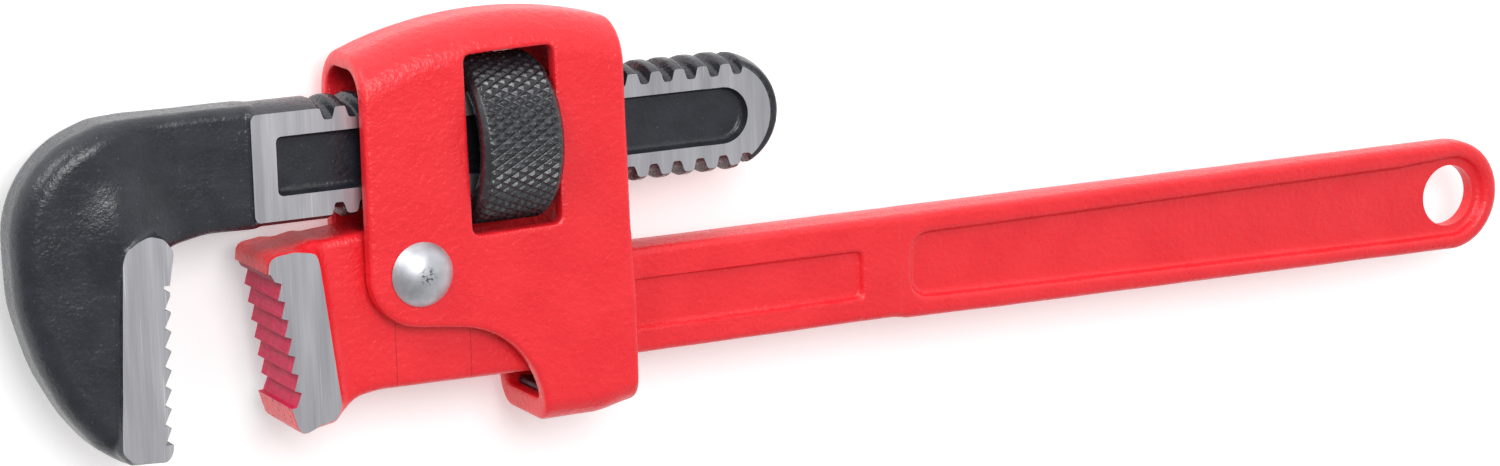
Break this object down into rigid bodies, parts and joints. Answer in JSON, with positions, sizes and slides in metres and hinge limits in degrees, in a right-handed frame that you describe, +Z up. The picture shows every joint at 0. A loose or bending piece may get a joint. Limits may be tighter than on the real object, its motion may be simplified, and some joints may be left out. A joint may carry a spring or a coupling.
{
  "type": "pipe wrench",
  "caption": "Adjustable pipe wrench: toothed hook jaw on a flat-sided screw shank, knurled nut, riveted swinging frame and a forged handle with a hanging hole.",
  "frame": {"origin": "centre of the hanging hole, half way through the handle", "axes": "+X along the handle from the jaws to its free end, +Y from the handle towards the screw shank, +Z up out of the wrench's side, along the hanging hole and the pivot rivet"},
  "size_m": [0.3206, 0.076, 0.0308],
  "materials": {
    "red_paint": "bright signal red gloss paint over forged and cast steel, ground bare on the sides of the heel jaw",
    "black_jaw": "satin black over a forged surface, ground bare on the sides of the tooth strip and the shank",
    "black_nut": "satin black with glints on the diamond knurl",
    "rivet_steel": "bright bare steel, lightly scuffed on top",
    "spring_steel": "dark tempered spring steel"
  },
  "bodies": {
    "handle": {"handle": "red_paint", "pivot_rivet": "rivet_steel"},
    "frame": {"frame": "red_paint", "shank_spring": "spring_steel", "spring_rivet": "rivet_steel"},
    "jaw": {"hook_jaw": "black_jaw"},
    "nut": {"adjusting_nut": "black_nut"},
    "loop_spring": {"loop_spring": "spring_steel"}
  },
  "joints": [
    {"name": "frame_pivot", "type": "hinge", "parent": "handle", "child": "frame", "pos_m": [-0.2359, 0.014, 0], "axis": [0, 0, 1], "range_deg": [-2, 4], "stiffness_Nm_per_rad": 4},
    {"name": "jaw_slide", "type": "slide", "parent": "frame", "child": "jaw", "axis": [-1, 0, 0], "range_m": [-0.017, 0.039]},
    {"name": "nut_spin", "type": "hinge", "parent": "frame", "child": "nut", "pos_m": [-0.2162, 0.0354, 0], "axis": [1, 0, 0], "range_deg": [-1300, 2950]},
    {"name": "loop_spring_flex", "type": "hinge", "parent": "frame", "child": "loop_spring", "pos_m": [-0.2095, -0.0122, 0], "axis": [0, 0, 1], "range_deg": [-12.5, 6.5]}
  ],
  "couplings": [
    {"joint": "nut_spin", "follows": "jaw_slide", "rad_per_m": 1309},
    {"joint": "loop_spring_flex", "follows": "frame_pivot", "ratio": -3}
  ]
}
